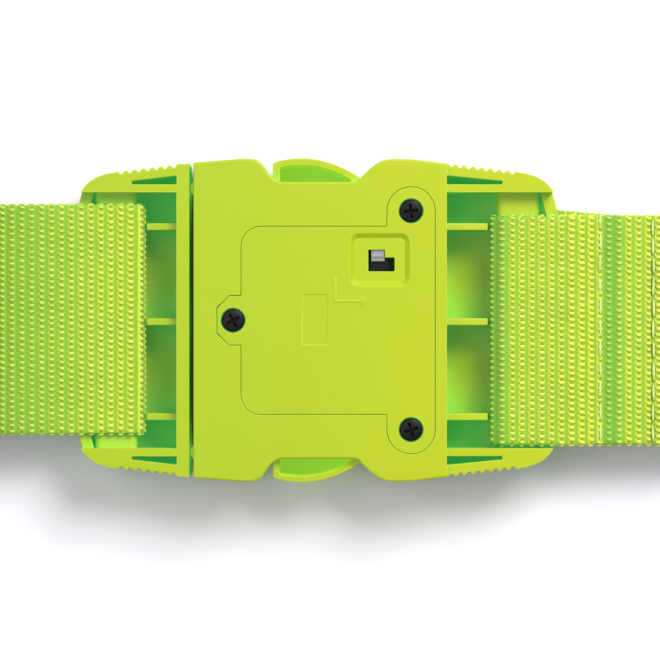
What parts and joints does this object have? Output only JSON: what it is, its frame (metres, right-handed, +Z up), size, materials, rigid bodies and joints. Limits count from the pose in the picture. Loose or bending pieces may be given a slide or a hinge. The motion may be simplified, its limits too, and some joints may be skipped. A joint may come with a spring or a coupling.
{
  "type": "luggage strap with combination-lock buckle",
  "caption": "Webbing luggage strap with a side-release buckle that holds a dial combination lock, lying dial side down, its spare length rolled up.",
  "frame": {"origin": "middle of the buckle, on the flat underside of the strap's return run, which lies on the table", "axes": "+X along the strap from the male half to the housing, +Y across the strap, +Z up, away from the dial side"},
  "size_m": [0.2262, 0.0704, 0.0573],
  "materials": {
    "lime_plastic": "satin moulded plastic",
    "inner_plastic": "natural moulded plastic",
    "dial_plastic": "black moulded plastic with white numerals",
    "webbing": "ribbed woven webbing",
    "tie_fabric": "hook-and-loop tape",
    "steel": "plain steel",
    "black_steel": "black oxide screw"
  },
  "bodies": {
    "housing": {"housing_body": "lime_plastic", "housing_cover": "lime_plastic", "front_bezel": "lime_plastic", "cover_screw_1": "black_steel", "cover_screw_2": "black_steel", "cover_screw_3": "black_steel", "strap_sewn_loop": "webbing", "strap_far_fold": "webbing", "strap_return_run": "webbing", "detent_spring": "steel", "upper_bar_spring": "steel", "lower_bar_spring": "steel", "shaft_return_spring": "steel"},
    "male": {"male_frame": "lime_plastic", "strap_adjuster_loop": "webbing", "strap_roll": "webbing", "roll_tie": "tie_fabric"},
    "upper_prong": {"upper_prong": "lime_plastic"},
    "lower_prong": {"lower_prong": "lime_plastic"},
    "upper_lock_bar": {"upper_lock_bar": "inner_plastic"},
    "lower_lock_bar": {"lower_lock_bar": "inner_plastic"},
    "reset_carriage": {"lock_shaft": "steel", "reset_carriage": "inner_plastic"},
    "reset_lever": {"reset_lever": "steel"},
    "dial_1": {"dial_1": "dial_plastic"},
    "cam_sleeve_1": {"cam_sleeve_1": "inner_plastic"},
    "dial_2": {"dial_2": "dial_plastic"},
    "cam_sleeve_2": {"cam_sleeve_2": "inner_plastic"},
    "dial_3": {"dial_3": "dial_plastic"},
    "cam_sleeve_3": {"cam_sleeve_3": "inner_plastic"}
  },
  "joints": [
    {"name": "release_slide", "type": "slide", "parent": "housing", "child": "male", "axis": [-1, 0, 0], "range_m": [0, 0.06], "deforming": ["upper_prong", "lower_prong"]},
    {"name": "upper_prong_squeeze", "type": "hinge", "parent": "male", "child": "upper_prong", "pos_m": [-0.025, 0.02865, 0.0107], "axis": [0, 0, -1], "range_deg": [0, 11], "stiffness_Nm_per_rad": 1.5},
    {"name": "lower_prong_squeeze", "type": "hinge", "parent": "male", "child": "lower_prong", "pos_m": [-0.025, -0.02865, 0.0107], "axis": [0, 0, 1], "range_deg": [0, 11]},
    {"name": "upper_lock_slide", "type": "slide", "parent": "housing", "child": "upper_lock_bar", "axis": [0, -1, 0], "range_m": [0, 0.0043], "deforming": ["upper_bar_spring"]},
    {"name": "lower_lock_slide", "type": "slide", "parent": "housing", "child": "lower_lock_bar", "axis": [0, 1, 0], "range_m": [0, 0.0043], "deforming": ["lower_bar_spring"]},
    {"name": "reset_shift", "type": "slide", "parent": "housing", "child": "reset_carriage", "axis": [1, 0, 0], "range_m": [0, 0.002], "stiffness_N_per_m": 120, "deforming": ["shaft_return_spring"]},
    {"name": "reset_lever_slide", "type": "slide", "parent": "reset_carriage", "child": "reset_lever", "axis": [0, -1, 0], "range_m": [0, 0.003]},
    {"name": "dial_1_turn", "type": "hinge", "parent": "housing", "child": "dial_1", "pos_m": [-0.0095, 0, 0.0096], "axis": [1, 0, 0], "continuous": true},
    {"name": "sleeve_1_turn", "type": "hinge", "parent": "reset_carriage", "child": "cam_sleeve_1", "pos_m": [-0.0095, 0, 0.0096], "axis": [1, 0, 0], "continuous": true},
    {"name": "dial_2_turn", "type": "hinge", "parent": "housing", "child": "dial_2", "pos_m": [0, 0, 0.0096], "axis": [1, 0, 0], "continuous": true},
    {"name": "sleeve_2_turn", "type": "hinge", "parent": "reset_carriage", "child": "cam_sleeve_2", "pos_m": [0, 0, 0.0096], "axis": [1, 0, 0], "continuous": true},
    {"name": "dial_3_turn", "type": "hinge", "parent": "housing", "child": "dial_3", "pos_m": [0.0095, 0, 0.0096], "axis": [1, 0, 0], "continuous": true},
    {"name": "sleeve_3_turn", "type": "hinge", "parent": "reset_carriage", "child": "cam_sleeve_3", "pos_m": [0.0095, 0, 0.0096], "axis": [1, 0, 0], "continuous": true}
  ],
  "couplings": [
    {"joint": "lower_prong_squeeze", "follows": "upper_prong_squeeze", "ratio": 1},
    {"joint": "upper_lock_slide", "follows": "upper_prong_squeeze", "m_per_rad": 0.0219},
    {"joint": "lower_lock_slide", "follows": "upper_prong_squeeze", "m_per_rad": 0.0219},
    {"joint": "sleeve_1_turn", "follows": "dial_1_turn", "ratio": 1},
    {"joint": "sleeve_2_turn", "follows": "dial_2_turn", "ratio": 1},
    {"joint": "sleeve_3_turn", "follows": "dial_3_turn", "ratio": 1}
  ]
}
